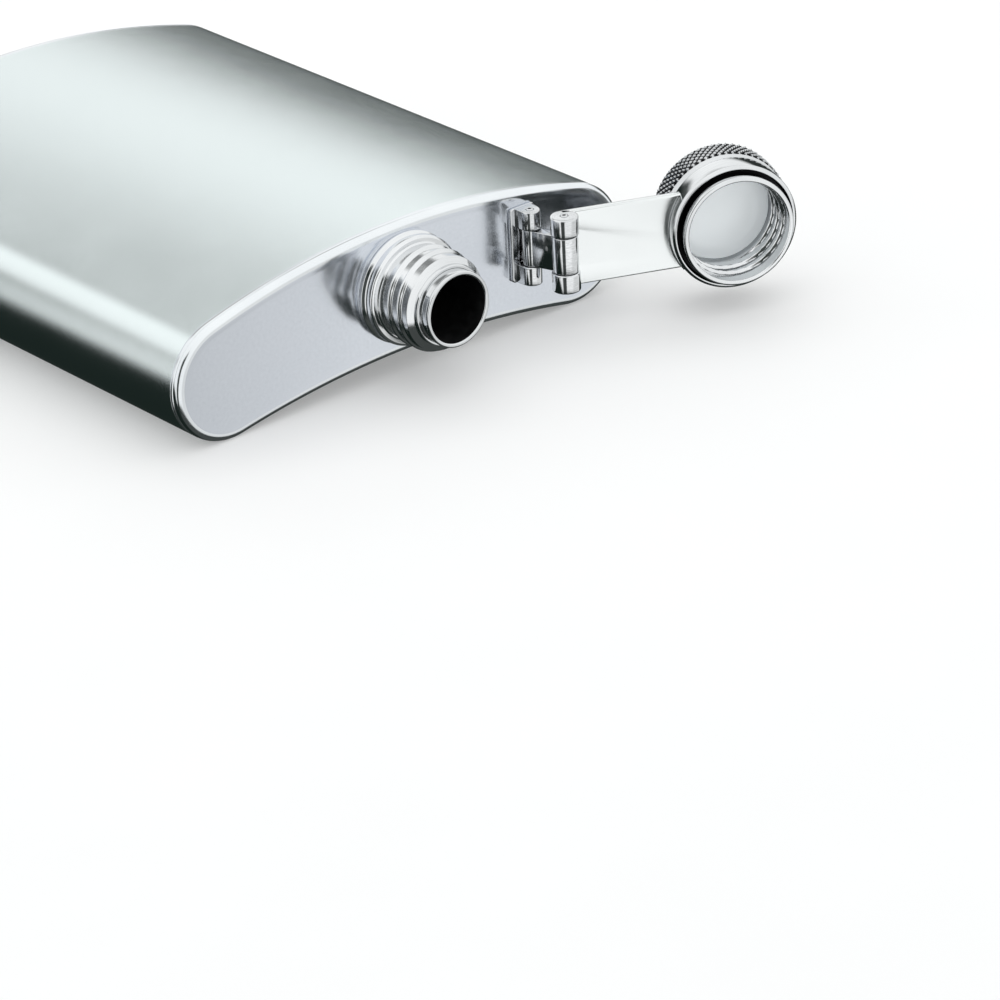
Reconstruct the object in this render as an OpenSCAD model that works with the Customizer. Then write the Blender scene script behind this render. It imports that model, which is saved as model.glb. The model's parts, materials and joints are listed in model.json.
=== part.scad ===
// Stainless steel hip flask: a curved drawn body with pressed end plates, a threaded
// neck, and a screw cap held captive by a two-pin hinge. Millimetres, +Z up.
// The flask lies on its hollow back. The origin is the centre of the flat base, the
// neck runs along -Y from the far end, and the hinge is on the +X side of the neck.

/* [Body] */
// Width across the body
body_w = 94; // [80:1:120]
// Height of the body from the base to the top plate
body_h = 110; // [80:1:160]
// Overall depth, from the tips of the hollow back to the crown of the front
body_t = 26.4; // [22:0.2:34]
// Rise of the hollow back at its middle
back_rise = 3.5; // [1:0.1:5]
// Radius of the two rounded sides
side_r = 10.6; // [8:0.1:10.8]
// Sheet thickness of the drawn sleeve
wall = 0.7; // [0.5:0.05:1]

/* [End plates] */
// Depth of the rolled rim of each end plate
rim_h = 1.8; // [1.2:0.1:3]
// Width of the rounding on the rim
rim_round = 1.1; // [0.5:0.1:1.4]
// Sheet thickness of an end plate
plate_t = 0.8; // [0.5:0.05:1.1]
// Depth of the spigot that sits inside the sleeve
spigot_h = 2.4; // [1:0.1:5]

/* [Neck] */
// Length of plain mouth beyond the thread sleeve
mouth_l = 2.15; // [1.2:0.05:6]
// Radius of the pouring bore
bore_r = 5.7; // [4:0.1:7]
// Wall of the spout tube
tube_wall = 0.65; // [0.4:0.05:0.8]
// Wall of the thread sleeve, below the thread
sleeve_wall = 1.61; // [1:0.01:2.4]
// Height of the thread ridge
thread_h = 0.5; // [0.35:0.05:0.6]
// Thread pitch
pitch = 2.4; // [2:0.1:2.6]
// Turns of thread on the neck
neck_turns = 2; // [1:0.25:3]
// Width of the weld collar beyond the root of the thread
collar_w = 1.6; // [1.2:0.1:3]
// Height of the weld collar
collar_h = 3.1; // [2.9:0.1:5]

/* [Cap] */
// Step of the knurled knob beyond the ring
knob_step = 0.5; // [0.3:0.05:2]
// Metal of the knob above the bush
knob_roof = 1.47; // [1:0.01:4]
// Step of the lip beyond the wall of the bush
lip_step = 0.35; // [0.25:0.05:0.8]
// Height of the lip
lip_h = 1.6; // [1.2:0.05:2.4]
// Wall of the threaded bush
bush_wall = 0.55; // [0.4:0.05:0.6]
// Gap between the weld collar and the lip when the cap is screwed down
seat_gap = 1.15; // [0.8:0.05:1.5]
// Turns of thread in the bush beyond those on the neck
extra_turns = 0.75; // [0:0.25:0.75]
// Thickness of the sealing liner
liner_t = 1.0; // [0.5:0.1:1.5]

/* [Cap arm] */
// Wall of the ring that holds the cap
ring_wall = 1.54; // [1.2:0.01:3]
// Height of that ring
ring_h = 4.2; // [3:0.1:5]
// Distance from the arm pin to the axis of the cap
arm_reach = 29.3; // [26:0.1:36]
// Thickness of the arm
arm_t = 1.3; // [0.8:0.1:1.8]
// Width of the arm and length of the hinge
hinge_w = 13.2; // [10:0.1:16]
// Distance of the arm pin beyond the lip plane of the cap
pin_lead = 3.0; // [2:0.1:4]

/* [Hinge] */
// Distance between the two hinge pins
link_l = 6.55; // [6:0.05:9]
// Gap under the link
link_lift = 0.4; // [0.2:0.05:1]
// Radius of both hinge pins
pin_r = 0.65; // [0.5:0.05:0.8]
// Radius of the bracket knuckles
bracket_r = 1.75; // [1.5:0.05:1.8]
// Radius of the arm knuckles
arm_r = 2.4; // [2:0.05:2.6]
// Thickness of the bracket foot
foot_t = 0.6; // [0.3:0.05:0.6]
// Angle of the link above the top plate with the cap swung open
link_open = 71.3; // [60:0.1:90]
// Swing of the arm from closed to open
arm_open = 156.5; // [120:0.5:165]

/* [Hidden] */
$fn = 64;
// clearances
run_fit = 0.06;      // a pin or a bush that turns in its bore
slip_fit = 0.04;     // pieces that are assembled once
thread_gap = 0.25;   // radial clearance of the thread
side_gap = 0.12;     // between neighbouring knuckles
ring_gap = 0.35;     // between the lip and the ring, and so how far the cap can slide
washer_gap = 0.05;   // between the ring and the washer
seal_gap = 0.08;     // between the mouth and the liner at the end of the thread
// outline of the body: two rounded sides joined by the arcs of the front and the back
side_x = body_w / 2 - side_r;
back_R = (side_x * side_x + back_rise * back_rise - 2 * side_r * back_rise) / (2 * back_rise);
front_R = (side_x * side_x + body_t * body_t - 2 * body_t * side_r) / (2 * (body_t - 2 * side_r));
mid_z = (back_rise + body_t) / 2;
front_a = atan2(side_x, side_r - body_t + front_R);
back_a = atan2(side_x, side_r - back_rise + back_R);
side_n = 20;
face_n = 24;
// thread
tube_r = bore_r + tube_wall;
root_r = tube_r + slip_fit + sleeve_wall;
crest_r = root_r + thread_h;
male_w = 1.1;
steps = 28;
// neck stations, measured up from the top plate
collar_r = root_r + collar_w;
thread_z0 = collar_h + 1.3;
thread_top = thread_z0 + neck_turns * pitch + 0.5;
sleeve_top = thread_top + 1.45;
neck_h = sleeve_top + mouth_l;
shoulder_r = tube_r + 0.55;
seat_h = collar_h + seat_gap;
// radii of the cap, from the bore of the bush outwards
bush_bore = crest_r + thread_gap;
bush_r = bush_bore + bush_wall;
female_r = root_r + thread_gap;
female_w = 0.62;
lip_r = bush_r + lip_step;
ring_r = bush_r + run_fit + ring_wall;
knob_r = ring_r + knob_step;
// cap stations, measured from the lip towards the knob
cap_turns = neck_turns + extra_turns;
female_z0 = thread_z0 + pitch / 2 - seat_h;
ring_z0 = lip_h + ring_gap;
ring_z1 = ring_z0 + ring_h;
washer_t = 0.2;
washer_z = ring_z1 + washer_gap;
knob_z0 = washer_z + washer_t;
liner_z = neck_h - seat_h + seal_gap;
bush_top = liner_z + liner_t + 0.8;
knob_z1 = bush_top + knob_roof;
// hinge stations
link_r1 = bracket_r - 0.35;
link_r2 = arm_r - 0.2;
knuckle_l = 3.3;
mid_l = hinge_w - 2 * knuckle_l - 2 * side_gap;
bracket_h = foot_t + link_r1 + link_lift;
pin_up = seat_h + pin_lead;
link_shut = asin((pin_up - bracket_h) / link_l);
bracket_x = arm_reach - link_l * cos(link_shut);
arm_x = bracket_x + link_l * cos(link_open);
arm_y = bracket_h + link_l * sin(link_open);

// ---- outline helpers -------------------------------------------------------

// A point on the outline drawn in by o, with the neck axis at height 0
function on_front(a, o) = [(front_R - o) * sin(a), body_t - front_R + (front_R - o) * cos(a) - mid_z];
function on_back(a, o) = [(back_R + o) * sin(a), back_rise - back_R + (back_R + o) * cos(a) - mid_z];
function on_side(s, a, o) = [s * (side_x + (side_r - o) * sin(a)), side_r + (side_r - o) * cos(a) - mid_z];
function kidney(o) = concat(
    [for (i = [0:face_n]) on_front(front_a * (1 - 2 * i / face_n), o)],
    [for (i = [1:side_n]) on_side(-1, front_a + (180 - back_a * -1 - front_a) * i / side_n, o)],
    [for (i = [1:face_n]) on_back(-back_a + 2 * back_a * i / face_n, o)],
    [for (i = [1:side_n - 1]) on_side(1, 180 + back_a + (front_a - 180 - back_a) * i / side_n, o)]);

// Closed solid through rings of [inset, height], each the same outline
module loft(rings) {
    n = len(kidney(0));
    m = len(rings);
    pts = [for (r = rings) for (p = kidney(r[0])) [p[0], p[1], r[1]]];
    walls = [for (k = [0:m - 2]) for (i = [0:n - 1])
        [k * n + i, (k + 1) * n + i, (k + 1) * n + (i + 1) % n, k * n + (i + 1) % n]];
    polyhedron(pts, concat([[for (i = [0:n - 1]) i]], walls,
        [[for (i = [n - 1:-1:0]) (m - 1) * n + i]]));
}

// Helical ridge about Z: from radius r0 to r1, width w at its foot, tapered at both ends
module ridge(r0, r1, w, turns, z0) {
    k = round(turns * steps);
    function prof(t, f) = let (h = r0 + (r1 - r0) * f, z = z0 + pitch * t)
        [[r0, z - w / 2], [h, z - w * 0.22], [h, z + w * 0.22], [r0, z + w / 2]];
    function fade(i) = min(1, (i + 0.6) / (steps / 6), (k - i + 0.6) / (steps / 6));
    pts = [for (i = [0:k]) for (q = prof(i / steps, fade(i)))
        [q[0] * cos(360 * i / steps), q[0] * sin(360 * i / steps), q[1]]];
    sides = [for (i = [0:k - 1]) for (j = [0:3]) let (a = i * 4 + j, b = i * 4 + (j + 1) % 4)
        each [[a, b, b + 4], [a, b + 4, a + 4]]];
    flip = r1 > r0;
    faces = concat([[3, 2, 1, 0]], [[k * 4, k * 4 + 1, k * 4 + 2, k * 4 + 3]], sides);
    polyhedron(pts, flip ? faces : [for (f = faces) [for (i = [len(f) - 1:-1:0]) f[i]]]);
}

// Places: the top plate, the cap and the hinge arm
module on_top() { translate([0, -body_h, 0]) rotate([90, 0, 0]) children(); }
module at_arm() { translate([arm_x, -body_h - arm_y, 0]) rotate([0, 0, arm_open]) children(); }
module at_cap() { at_arm() translate([-arm_reach, pin_lead, 0]) rotate([90, 0, 0]) children(); }
module at_link() { translate([bracket_x, -body_h - bracket_h, 0]) rotate([0, 0, -link_open]) children(); }
module bar(r, l, z = 0) { translate([0, 0, z - l / 2]) cylinder(h = l, r = r, $fn = 48); }

// ---- body ------------------------------------------------------------------

module body_sleeve() color("silver")
    rotate([90, 0, 0]) translate([0, 0, rim_h]) linear_extrude(body_h - 2 * rim_h)
        difference() { polygon(kidney(0)); polygon(kidney(wall)); }

// An end plate seen from outside: rolled rim, flat face, spigot behind it
module end_cup() {
    difference() {
        loft([[0, 0], [0, rim_h - rim_round], [rim_round * 0.12, rim_h - rim_round * 0.55],
            [rim_round * 0.42, rim_h - rim_round * 0.18], [rim_round, rim_h]]);
        translate([0, 0, -1]) linear_extrude(1 + rim_h - plate_t)
            polygon(kidney(wall + slip_fit + plate_t));
    }
    translate([0, 0, -spigot_h]) linear_extrude(spigot_h)
        difference() {
            polygon(kidney(wall + slip_fit));
            polygon(kidney(wall + slip_fit + plate_t));
        }
}

module top_plate() color("gainsboro")
    on_top() difference() {
        translate([0, 0, -rim_h]) end_cup();
        translate([0, 0, -rim_h - 2]) cylinder(h = rim_h + 4, r = tube_r + slip_fit);
    }

module base_plate() color("gainsboro")
    rotate([-90, 0, 0]) mirror([0, 1, 0]) translate([0, 0, -rim_h]) end_cup();

// ---- neck ------------------------------------------------------------------

module neck_collar() color("silver")
    on_top() rotate_extrude() polygon([
        [tube_r + slip_fit, 0], [collar_r, 0], [collar_r, 0.35], [collar_r - 0.35, 0.75],
        [collar_r - 0.55, 0.8], [collar_r - 0.6, 1.35], [collar_r - 0.3, 1.55],
        [collar_r - 0.2, 2.0], [collar_r - 0.3, collar_h - 0.65], [collar_r - 0.7, collar_h - 0.35],
        [root_r + 0.35, collar_h - 0.3], [root_r + 0.2, collar_h], [tube_r + slip_fit, collar_h]]);

module spout_tube() color("silver")
    on_top() rotate_extrude() polygon([
        [bore_r, -plate_t - 0.6], [tube_r + 1.1, -plate_t - 0.6], [tube_r + 1.1, -plate_t],
        [tube_r, -plate_t], [tube_r, neck_h - 0.5], [tube_r + 0.12, neck_h - 0.35],
        [tube_r + 0.12, neck_h - 0.12], [tube_r - 0.05, neck_h], [bore_r + 0.15, neck_h],
        [bore_r, neck_h - 0.15]]);

module thread_sleeve() color("silver")
    on_top() {
        rotate_extrude() polygon([
            [tube_r + slip_fit, collar_h], [root_r, collar_h], [root_r, thread_top],
            [shoulder_r + 0.3, thread_top + 0.6], [shoulder_r, thread_top + 0.7],
            [shoulder_r, sleeve_top - 0.25], [shoulder_r - 0.2, sleeve_top],
            [tube_r + slip_fit, sleeve_top]]);
        ridge(root_r - 0.15, crest_r, male_w, neck_turns, thread_z0);
    }

// ---- hinge -----------------------------------------------------------------

module hinge_bracket() color("gray")
    on_top() translate([bracket_x, 0, 0]) difference() {
        union() {
            translate([-2.6, -hinge_w / 2, 0]) cube([5.2, hinge_w, foot_t]);
            for (s = [-1, 1]) translate([0, s * (hinge_w - knuckle_l) / 2, 0]) {
                translate([-bracket_r, -knuckle_l / 2, 0]) cube([2 * bracket_r, knuckle_l, bracket_h]);
                translate([0, 0, bracket_h]) rotate([90, 0, 0]) bar(bracket_r, knuckle_l);
            }
        }
        translate([0, 0, bracket_h]) rotate([90, 0, 0]) bar(pin_r + slip_fit, hinge_w + 2);
    }

// A straight pin with slightly domed ends
module hinge_pin(l) {
    rotate_extrude($fn = 32) polygon([[0, -l / 2], [pin_r - 0.2, -l / 2], [pin_r, -l / 2 + 0.2],
        [pin_r, l / 2 - 0.2], [pin_r - 0.2, l / 2], [0, l / 2]]);
}

module bracket_pin() color("silver")
    translate([bracket_x, -body_h - bracket_h, 0]) hinge_pin(hinge_w + 0.3);

module link_plate() color("silver")
    at_link() difference() {
        union() {
            bar(link_r1, mid_l);
            translate([link_l, 0, 0]) bar(link_r2, mid_l);
            translate([0, -link_r1 * 0.8, -mid_l / 2]) cube([link_l, link_r1 * 1.6, mid_l]);
        }
        bar(pin_r + run_fit, mid_l + 2);
        translate([link_l, 0, 0]) bar(pin_r + run_fit, mid_l + 2);
    }

module arm_pin() color("silver")
    translate([arm_x, -body_h - arm_y, 0]) hinge_pin(hinge_w + 0.3);

// ---- arm and ring ----------------------------------------------------------

module hinge_arm() color("silver")
    at_arm() difference() {
        union() {
            for (s = [-1, 1]) bar(arm_r, knuckle_l, s * (hinge_w - knuckle_l) / 2);
            translate([-arm_reach, -arm_r, -hinge_w / 2]) cube([arm_reach - arm_r, arm_t, hinge_w]);
            for (s = [-1, 1]) translate([-arm_r - 1, -arm_r, s * (hinge_w - knuckle_l) / 2 - knuckle_l / 2])
                cube([arm_r + 1, arm_t, knuckle_l]);
        }
        bar(pin_r + run_fit, hinge_w + 2);
        translate([-arm_reach, 0, 0]) rotate([90, 0, 0]) translate([0, 0, -20])
            cylinder(h = 40, r = ring_r);
    }

module arm_ring() color("silver")
    at_cap() rotate_extrude($fn = 96) polygon([
        [bush_r + run_fit, ring_z0 + 1.0], [ring_r - 0.9, ring_z0 + 1.0], [ring_r - 0.7, ring_z0],
        [ring_r - 0.4, ring_z0], [ring_r, ring_z0 + 0.4], [ring_r, ring_z1 - 0.2],
        [ring_r - 0.2, ring_z1], [bush_r + run_fit, ring_z1]]);

// ---- cap -------------------------------------------------------------------

module cap_knob() color("silver")
    at_cap() rotate_extrude($fn = 96) polygon([
        [bush_r + slip_fit, knob_z0], [ring_r - 0.5, knob_z0], [knob_r - 0.1, knob_z0 + 0.8],
        [knob_r, knob_z0 + 1.0], [knob_r, knob_z1 - 0.8], [knob_r - 0.7, knob_z1],
        [0, knob_z1], [0, bush_top], [bush_r + slip_fit, bush_top]]);

module threaded_bush() color("silver")
    at_cap() {
        rotate_extrude($fn = 96) polygon([
            [bush_bore, 0.15], [bush_bore + 0.15, 0], [lip_r - 0.25, 0], [lip_r, 0.25],
            [lip_r, lip_h - 0.3], [lip_r - 0.2, lip_h - 0.1], [bush_r, lip_h],
            [bush_r, bush_top], [0, bush_top], [0, liner_z + liner_t], [bush_bore, liner_z + liner_t]]);
        ridge(bush_bore + 0.15, female_r, female_w, cap_turns, female_z0);
    }

module slip_washer() color("dimgray")
    at_cap() translate([0, 0, washer_z]) difference() {
        cylinder(h = washer_t, r = ring_r - 0.6);
        translate([0, 0, -1]) cylinder(h = washer_t + 2, r = bush_r + slip_fit);
    }

module seal_liner() color("whitesmoke")
    at_cap() translate([0, 0, liner_z]) cylinder(h = liner_t, r = bush_bore - 0.25);

body_sleeve();
top_plate();
base_plate();
neck_collar();
spout_tube();
thread_sleeve();
hinge_bracket();
bracket_pin();
link_plate();
arm_pin();
hinge_arm();
arm_ring();
cap_knob();
threaded_bush();
slip_washer();
seal_liner();
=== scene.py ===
"""Looks of the hip flask: finer steel surfaces on every body, a pale studio and the camera."""
import json
import math

import bmesh
import bpy
import numpy as np
from mathutils import Matrix, Vector


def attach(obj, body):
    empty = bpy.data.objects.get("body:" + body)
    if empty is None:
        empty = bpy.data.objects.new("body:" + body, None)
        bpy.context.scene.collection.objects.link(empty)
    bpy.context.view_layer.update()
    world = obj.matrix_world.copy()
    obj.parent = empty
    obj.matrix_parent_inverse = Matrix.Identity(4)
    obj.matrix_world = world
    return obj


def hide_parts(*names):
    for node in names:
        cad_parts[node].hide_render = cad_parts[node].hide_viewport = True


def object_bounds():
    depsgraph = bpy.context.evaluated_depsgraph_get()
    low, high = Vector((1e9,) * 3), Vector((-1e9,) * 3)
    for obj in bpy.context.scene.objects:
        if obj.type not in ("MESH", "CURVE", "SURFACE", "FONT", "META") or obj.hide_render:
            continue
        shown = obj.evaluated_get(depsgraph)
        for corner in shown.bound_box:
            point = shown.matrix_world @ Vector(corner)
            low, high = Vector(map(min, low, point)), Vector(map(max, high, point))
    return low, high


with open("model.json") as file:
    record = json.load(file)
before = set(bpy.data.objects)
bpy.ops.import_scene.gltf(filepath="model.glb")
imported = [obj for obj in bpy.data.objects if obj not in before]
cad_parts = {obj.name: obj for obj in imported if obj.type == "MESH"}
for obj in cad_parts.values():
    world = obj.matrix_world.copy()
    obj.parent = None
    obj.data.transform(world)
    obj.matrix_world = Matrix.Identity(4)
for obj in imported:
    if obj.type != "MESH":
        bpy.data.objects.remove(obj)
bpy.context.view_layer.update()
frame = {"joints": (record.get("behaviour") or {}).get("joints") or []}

# ---------------------------------------------------------------- sizes (mm)
# body and end plates
BODY_W = 94.0
BODY_H = 110.0
BODY_T = 26.4
BACK_RISE = 3.5
SIDE_R = 10.6
WALL = 0.7
RIM_H = 1.8
RIM_ROUND = 1.1
PLATE_T = 0.8
SPIGOT_H = 2.4
# neck
BORE_R = 5.7
TUBE_WALL = 0.65
SLEEVE_WALL = 1.61
THREAD_H = 0.5
PITCH = 2.4
NECK_TURNS = 2.0
COLLAR_W = 1.6
COLLAR_H = 3.1
MOUTH_L = 2.15
# cap
BUSH_WALL = 0.55
LIP_STEP = 0.35
LIP_H = 1.6
SEAT_GAP = 1.15
EXTRA_TURNS = 0.75
LINER_T = 1.0
WASHER_T = 0.2
KNOB_STEP = 0.5
KNOB_ROOF = 1.47
# arm and hinge
RING_WALL = 1.54
RING_H = 4.2
ARM_REACH = 29.3
ARM_T = 1.3
HINGE_W = 13.2
KNUCKLE_L = 3.3
LINK_L = 6.55
PIN_R = 0.65
BRACKET_R = 1.75
ARM_R = 2.4
FOOT_T = 0.6
FOOT_W = 5.2
# clearances
RUN_FIT = 0.06
SLIP_FIT = 0.04
THREAD_GAP = 0.25
SIDE_GAP = 0.12
RING_GAP = 0.35
WASHER_GAP = 0.05
SEAL_GAP = 0.08

# radii, from the bore outwards
TUBE_R = BORE_R + TUBE_WALL
SLEEVE_BORE = TUBE_R + SLIP_FIT
ROOT_R = SLEEVE_BORE + SLEEVE_WALL
CREST_R = ROOT_R + THREAD_H
COLLAR_R = ROOT_R + COLLAR_W
SHOULDER_R = TUBE_R + 0.55
BUSH_BORE = CREST_R + THREAD_GAP
FEMALE_R = ROOT_R + THREAD_GAP
BUSH_R = BUSH_BORE + BUSH_WALL
LIP_R = BUSH_R + LIP_STEP
RING_R = BUSH_R + RUN_FIT + RING_WALL
KNOB_R = RING_R + KNOB_STEP
KNOB_BORE = BUSH_R + SLIP_FIT
LINER_R = BUSH_BORE - THREAD_GAP
# stations of the neck, up from the top plate
THREAD_Z0 = COLLAR_H + 1.3
THREAD_TOP = THREAD_Z0 + NECK_TURNS * PITCH + 0.5
SLEEVE_TOP = THREAD_TOP + 1.45
NECK_H = SLEEVE_TOP + MOUTH_L
# stations of the cap, from the lip towards the knob
SEAT_H = COLLAR_H + SEAT_GAP
FEMALE_Z0 = THREAD_Z0 + PITCH / 2 - SEAT_H
RING_Z0 = LIP_H + RING_GAP
RING_Z1 = RING_Z0 + RING_H
WASHER_Z = RING_Z1 + WASHER_GAP
KNOB_Z0 = WASHER_Z + WASHER_T
LINER_Z = NECK_H - SEAT_H + SEAL_GAP
LINER_TOP = LINER_Z + LINER_T
BUSH_TOP = LINER_TOP + 0.8
KNOB_Z1 = BUSH_TOP + KNOB_ROOF
# hinge
MIDDLE_L = HINGE_W - 2 * KNUCKLE_L - 2 * SIDE_GAP
LINK_R1 = BRACKET_R - 0.35
LINK_R2 = ARM_R - 0.2
# outline of the body: two rounded sides, joined by the arcs of the front and the back
SIDE_X = BODY_W / 2 - SIDE_R
BACK_R = (SIDE_X**2 + BACK_RISE**2 - 2 * SIDE_R * BACK_RISE) / (2 * BACK_RISE)
FRONT_R = (SIDE_X**2 + BODY_T**2 - 2 * BODY_T * SIDE_R) / (2 * (BODY_T - 2 * SIDE_R))
MID_Z = (BACK_RISE + BODY_T) / 2
FRONT_A = math.atan2(SIDE_X, SIDE_R - BODY_T + FRONT_R)
BACK_A = math.atan2(SIDE_X, SIDE_R - BACK_RISE + BACK_R)
FACE_STEPS = 72
SIDE_STEPS = 40
# sides of a turned surface
PIN_SIDES = 48
TUBE_SIDES = 72
HOLE_SIDES = 96
BARREL_SIDES = 96
DISC_SIDES = 128
NECK_SIDES = 160
RING_SIDES = 192
THREAD_SIDES = 208


# ---------------------------------------------------------------- places
class Place:
    """Where a piece's own origin and axes lie in the frame, in mm."""

    def __init__(self, origin, x_axis, y_axis, z_axis):
        self.origin = np.array(origin, float)
        self.axes = np.array([x_axis, y_axis, z_axis], float)

    def to_frame(self, points):
        return self.origin + np.asarray(points, float) @ self.axes


joints = {joint["name"]: joint for joint in frame["joints"]}
bracket_axis = np.array(joints["link_pivot"]["pos_m"]) * 1000
arm_axis = np.array(joints["arm_pivot"]["pos_m"]) * 1000
cap_lip = np.array(joints["cap_spin"]["pos_m"]) * 1000
mouth = np.array(joints["cap_spin"]["axis"], float)
mouth /= np.linalg.norm(mouth)
X_AXIS, Y_AXIS, UP = np.eye(3)
arm_x = np.cross(mouth, UP)
link_x = (arm_axis - bracket_axis) / np.linalg.norm(arm_axis - bracket_axis)

on_base = Place((0, 0, 0), X_AXIS, UP, Y_AXIS)
on_top = Place((0, -BODY_H, 0), X_AXIS, UP, -Y_AXIS)
on_foot = Place((bracket_axis[0], -BODY_H, 0), X_AXIS, UP, -Y_AXIS)
at_bracket = Place(bracket_axis, X_AXIS, Y_AXIS, UP)
at_link = Place(bracket_axis, link_x, np.cross(UP, link_x), UP)
at_arm = Place(arm_axis, arm_x, mouth, UP)
on_strap = Place(arm_axis - ARM_R * mouth, arm_x, UP, mouth)
at_cap = Place(cap_lip, arm_x, UP, -mouth)


# ---------------------------------------------------------------- mesh helpers
class Piece:
    """Gathers vertices, faces and UVs in their places, and makes one object of them."""

    def __init__(self):
        self.verts, self.faces, self.uvs, self.slots = [], [], [], []
        self.count = 0

    def add(self, verts, faces, uvs, place, mat=0):
        self.verts.append(place.to_frame(verts))
        for face, uv in zip(faces, uvs):
            self.faces.append([int(i) + self.count for i in face])
            self.uvs.append(uv)
            self.slots.append(mat)
        self.count += len(verts)

    def make(self, name, materials, angle=35.0):
        mesh = bpy.data.meshes.new(name)
        verts = np.vstack(self.verts) * 0.001
        mesh.from_pydata([tuple(p) for p in verts], [], self.faces)
        layer = mesh.uv_layers.new(name="UVMap")
        flat = [corner for uv in self.uvs for corner in uv]
        layer.data.foreach_set("uv", np.array(flat, float).ravel())
        for material in materials:
            mesh.materials.append(material)
        mesh.polygons.foreach_set("material_index", self.slots)
        mesh.polygons.foreach_set("use_smooth", [True] * len(self.faces))
        mesh.validate()
        bm = bmesh.new()
        bm.from_mesh(mesh)
        bmesh.ops.remove_doubles(bm, verts=bm.verts, dist=1e-7)
        bmesh.ops.recalc_face_normals(bm, faces=bm.faces)
        for edge in bm.edges:
            if len(edge.link_faces) == 2:
                edge.smooth = edge.calc_face_angle(0.0) < math.radians(angle)
        bm.to_mesh(mesh)
        bm.free()
        ob = bpy.data.objects.new(name, mesh)
        bpy.context.scene.collection.objects.link(ob)
        return ob


def put(ob, body, node_name):
    """Fixes a piece to its body, in place of its CAD node."""
    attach(ob, body)
    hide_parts(node_name)


def paint(ob, index, place, test):
    """Gives a turned piece's faces that pass test(radius, height) another material."""
    axis = place.axes[2]
    for face in ob.data.polygons:
        offset = np.array(face.center) * 1000 - place.origin
        height = float(offset @ axis)
        radius = float(np.linalg.norm(offset - height * axis))
        if test(radius, height):
            face.material_index = index


def rounded(points, radii, closed=False, steps=4):
    """The polyline with its corners rounded, by one radius or by a list of them."""
    almost_straight = 0.02
    longest_share = 0.48
    points = [np.array(p, float) for p in points]
    count = len(points)
    if not isinstance(radii, list):
        radii = [radii] * count
    out = []
    for i, corner in enumerate(points):
        is_end = not closed and i in (0, count - 1)
        if is_end or radii[i] <= 0:
            out.append(corner)
            continue
        back, ahead = points[i - 1] - corner, points[(i + 1) % count] - corner
        back_l, ahead_l = np.linalg.norm(back), np.linalg.norm(ahead)
        back, ahead = back / back_l, ahead / ahead_l
        half = math.acos(float(np.clip(back @ ahead, -1, 1))) / 2
        if half > math.pi / 2 - almost_straight:
            out.append(corner)
            continue
        cut = min(radii[i] / math.tan(half), back_l * longest_share, ahead_l * longest_share)
        radius = cut * math.tan(half)
        inward = (back + ahead) / np.linalg.norm(back + ahead)
        centre = corner + inward * radius / math.sin(half)
        start, end = corner + back * cut - centre, corner + ahead * cut - centre
        turn = math.pi - 2 * half
        if start[0] * end[1] - start[1] * end[0] <= 0:
            turn = -turn
        for k in range(steps + 1):
            c, s = math.cos(turn * k / steps), math.sin(turn * k / steps)
            out.append(centre + np.array([start[0] * c - start[1] * s, start[0] * s + start[1] * c]))
    return np.array(out)


def profile(rows, closed=False, steps=4):
    """An outline from rows of (x, y, corner radius); for lathe() x is a radius and y a height."""
    return rounded([row[:2] for row in rows], [row[2] for row in rows], closed, steps)


def grid(columns, rows):
    """Quads of a grid whose columns wrap round, with UVs."""
    faces, uvs = [], []
    for j in range(rows - 1):
        for i in range(columns):
            right = (i + 1) % columns
            low, high = j * columns, (j + 1) * columns
            faces.append((low + i, low + right, high + right, high + i))
            u0, u1 = i / columns, (i + 1) / columns
            v0, v1 = j / (rows - 1), (j + 1) / (rows - 1)
            uvs.append([(u0, v0), (u1, v0), (u1, v1), (u0, v1)])
    return faces, uvs


def lathe(piece, outline, place, sides=TUBE_SIDES, closed=False, mat=0, centre=(0.0, 0.0)):
    """Turns an outline of (radius, height) about the place's own Z, or about a centre."""
    outline = np.asarray(outline, float)
    if closed:
        outline = np.vstack([outline, outline[:1]])
    t = np.linspace(0, 2 * math.pi, sides, endpoint=False)
    rings = [np.c_[r * np.cos(t) + centre[0], r * np.sin(t) + centre[1], np.full(sides, z)]
             for r, z in outline]
    faces, uvs = grid(sides, len(outline))
    piece.add(np.vstack(rings), faces, uvs, place, mat)


def tube(piece, inner, outer, z0, z1, place, round_r, sides=TUBE_SIDES, mat=0, centre=(0.0, 0.0)):
    """A ring from height z0 to z1, with its outer rims rounded."""
    bore_round = 0.05
    rows = [(inner, z0, bore_round), (outer, z0, round_r), (outer, z1, round_r), (inner, z1, bore_round)]
    lathe(piece, profile(rows, closed=True), place, sides, True, mat, centre)


def arc(centre_x, centre_z, radius, start, end, count, side=1):
    """Points (x, z) round a centre, from one angle off +Z up to the other; side -1 mirrors X."""
    a = start + (end - start) * np.arange(count) / count
    return np.c_[side * (centre_x + radius * np.sin(a)), centre_z + radius * np.cos(a)]


def kidney(inset):
    """The body's outline drawn in by inset, as (x, z) points about the neck axis."""
    side_r = SIDE_R - inset
    turn = math.pi + BACK_A
    points = np.vstack([
        arc(0, BODY_T - FRONT_R, FRONT_R - inset, FRONT_A, -FRONT_A, FACE_STEPS),
        arc(SIDE_X, SIDE_R, side_r, FRONT_A, turn, SIDE_STEPS, side=-1),
        arc(0, BACK_RISE - BACK_R, BACK_R + inset, -BACK_A, BACK_A, FACE_STEPS),
        arc(SIDE_X, SIDE_R, side_r, turn, FRONT_A, SIDE_STEPS)])
    return points - (0, MID_Z)


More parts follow.
